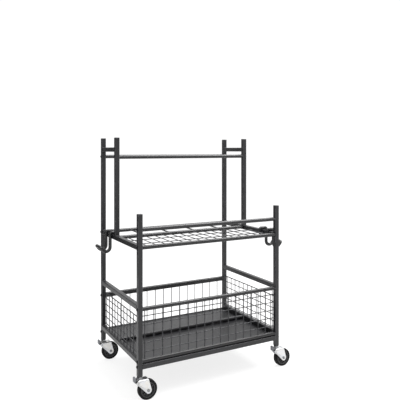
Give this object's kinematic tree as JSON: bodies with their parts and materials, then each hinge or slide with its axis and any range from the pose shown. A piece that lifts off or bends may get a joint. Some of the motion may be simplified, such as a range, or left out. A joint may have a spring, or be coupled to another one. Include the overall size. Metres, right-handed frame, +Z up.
{
  "type": "garden tool rack",
  "caption": "Rolling steel rack for long-handled garden tools, with a wire basket at its foot, a wire shelf with guard rail, side hooks and braked swivel casters.",
  "frame": {"origin": "on the floor at the middle of the outer box", "axes": "+Z up, +Y from the shelf side to the tall tool bay at the back, +X to the right seen from the front"},
  "size_m": [0.7758, 0.474, 1.001],
  "materials": {
    "powder_coat": "satin charcoal powder coat",
    "wire_coat": "satin charcoal powder coat on wire and round tube",
    "hook_coat": "dark satin coating",
    "black_plastic": "moulded, fine texture",
    "pedal_plastic": "moulded, satin",
    "zinc_plate": "bright zinc plate",
    "wheel_rubber": "black moulded tread, satin"
  },
  "bodies": {
    "frame": {"post_front_left": "powder_coat", "post_cap_front_left": "black_plastic", "post_front_right": "powder_coat", "post_cap_front_right": "black_plastic", "post_middle_left": "powder_coat", "post_cap_middle_left": "black_plastic", "post_middle_right": "powder_coat", "post_cap_middle_right": "black_plastic", "post_back_left": "powder_coat", "post_cap_back_left": "black_plastic", "post_back_right": "powder_coat", "post_cap_back_right": "black_plastic", "base_rail_left": "powder_coat", "basket_side_rail_left": "powder_coat", "shelf_side_rail_left": "powder_coat", "top_side_rail_left": "powder_coat", "base_rail_right": "powder_coat", "basket_side_rail_right": "powder_coat", "shelf_side_rail_right": "powder_coat", "top_side_rail_right": "powder_coat", "base_rail_front": "powder_coat", "base_rail_back": "powder_coat", "basket_floor_crossbar": "powder_coat", "guard_rail": "powder_coat", "top_rail_front": "powder_coat", "top_rail_back": "powder_coat", "basket_floor_sheet": "powder_coat", "basket_front_panel": "wire_coat", "basket_back_panel": "wire_coat", "basket_left_panel": "wire_coat", "basket_right_panel": "wire_coat", "shelf_deck": "wire_coat", "tool_divider_rack": "wire_coat", "caster_front_left_socket": "black_plastic", "caster_front_left_stem": "zinc_plate", "caster_front_right_socket": "black_plastic", "caster_front_right_stem": "zinc_plate", "caster_back_left_socket": "black_plastic", "caster_back_left_stem": "zinc_plate", "caster_back_right_socket": "black_plastic", "caster_back_right_stem": "zinc_plate"},
    "hook_left": {"side_hook_left": "hook_coat"},
    "hook_right": {"side_hook_right": "hook_coat"},
    "front_left_yoke": {"caster_front_left_fork": "zinc_plate", "caster_front_left_axle": "zinc_plate"},
    "front_left_wheel": {"caster_front_left_wheel": "wheel_rubber"},
    "front_left_pedal": {"caster_front_left_brake_pedal": "pedal_plastic"},
    "front_right_yoke": {"caster_front_right_fork": "zinc_plate", "caster_front_right_axle": "zinc_plate"},
    "front_right_wheel": {"caster_front_right_wheel": "wheel_rubber"},
    "front_right_pedal": {"caster_front_right_brake_pedal": "pedal_plastic"},
    "back_left_yoke": {"caster_back_left_fork": "zinc_plate", "caster_back_left_axle": "zinc_plate"},
    "back_left_wheel": {"caster_back_left_wheel": "wheel_rubber"},
    "back_left_pedal": {"caster_back_left_brake_pedal": "pedal_plastic"},
    "back_right_yoke": {"caster_back_right_fork": "zinc_plate", "caster_back_right_axle": "zinc_plate"},
    "back_right_wheel": {"caster_back_right_wheel": "wheel_rubber"},
    "back_right_pedal": {"caster_back_right_brake_pedal": "pedal_plastic"}
  },
  "joints": [
    {"name": "hook_left_slide", "type": "slide", "parent": "frame", "child": "hook_left", "axis": [0, 1, 0], "range_m": [-0.019, 0.072]},
    {"name": "hook_right_slide", "type": "slide", "parent": "frame", "child": "hook_right", "axis": [0, 1, 0], "range_m": [-0.025, 0.141]},
    {"name": "front_left_swivel", "type": "hinge", "parent": "frame", "child": "front_left_yoke", "pos_m": [-0.32113, -0.2175, 0.084], "axis": [0, 0, 1], "continuous": true},
    {"name": "front_left_spin", "type": "hinge", "parent": "front_left_yoke", "child": "front_left_wheel", "pos_m": [-0.29013, -0.2175, 0.038], "axis": [0, 1, 0], "continuous": true},
    {"name": "front_left_brake", "type": "hinge", "parent": "front_left_yoke", "child": "front_left_pedal", "pos_m": [-0.33013, -0.2175, 0.071], "axis": [0, -1, 0], "range_deg": [0, 18]},
    {"name": "front_right_swivel", "type": "hinge", "parent": "frame", "child": "front_right_yoke", "pos_m": [0.31887, -0.2175, 0.084], "axis": [0, 0, 1], "continuous": true},
    {"name": "front_right_spin", "type": "hinge", "parent": "front_right_yoke", "child": "front_right_wheel", "pos_m": [0.34987, -0.2175, 0.038], "axis": [0, 1, 0], "continuous": true},
    {"name": "front_right_brake", "type": "hinge", "parent": "front_right_yoke", "child": "front_right_pedal", "pos_m": [0.30987, -0.2175, 0.071], "axis": [0, -1, 0], "range_deg": [0, 18]},
    {"name": "back_left_swivel", "type": "hinge", "parent": "frame", "child": "back_left_yoke", "pos_m": [-0.32113, 0.2175, 0.084], "axis": [0, 0, 1], "continuous": true},
    {"name": "back_left_spin", "type": "hinge", "parent": "back_left_yoke", "child": "back_left_wheel", "pos_m": [-0.29013, 0.2175, 0.038], "axis": [0, 1, 0], "continuous": true},
    {"name": "back_left_brake", "type": "hinge", "parent": "back_left_yoke", "child": "back_left_pedal", "pos_m": [-0.33013, 0.2175, 0.071], "axis": [0, -1, 0], "range_deg": [0, 18]},
    {"name": "back_right_swivel", "type": "hinge", "parent": "frame", "child": "back_right_yoke", "pos_m": [0.31887, 0.2175, 0.084], "axis": [0, 0, 1], "continuous": true},
    {"name": "back_right_spin", "type": "hinge", "parent": "back_right_yoke", "child": "back_right_wheel", "pos_m": [0.34987, 0.2175, 0.038], "axis": [0, 1, 0], "continuous": true},
    {"name": "back_right_brake", "type": "hinge", "parent": "back_right_yoke", "child": "back_right_pedal", "pos_m": [0.30987, 0.2175, 0.071], "axis": [0, -1, 0], "range_deg": [0, 18]}
  ]
}
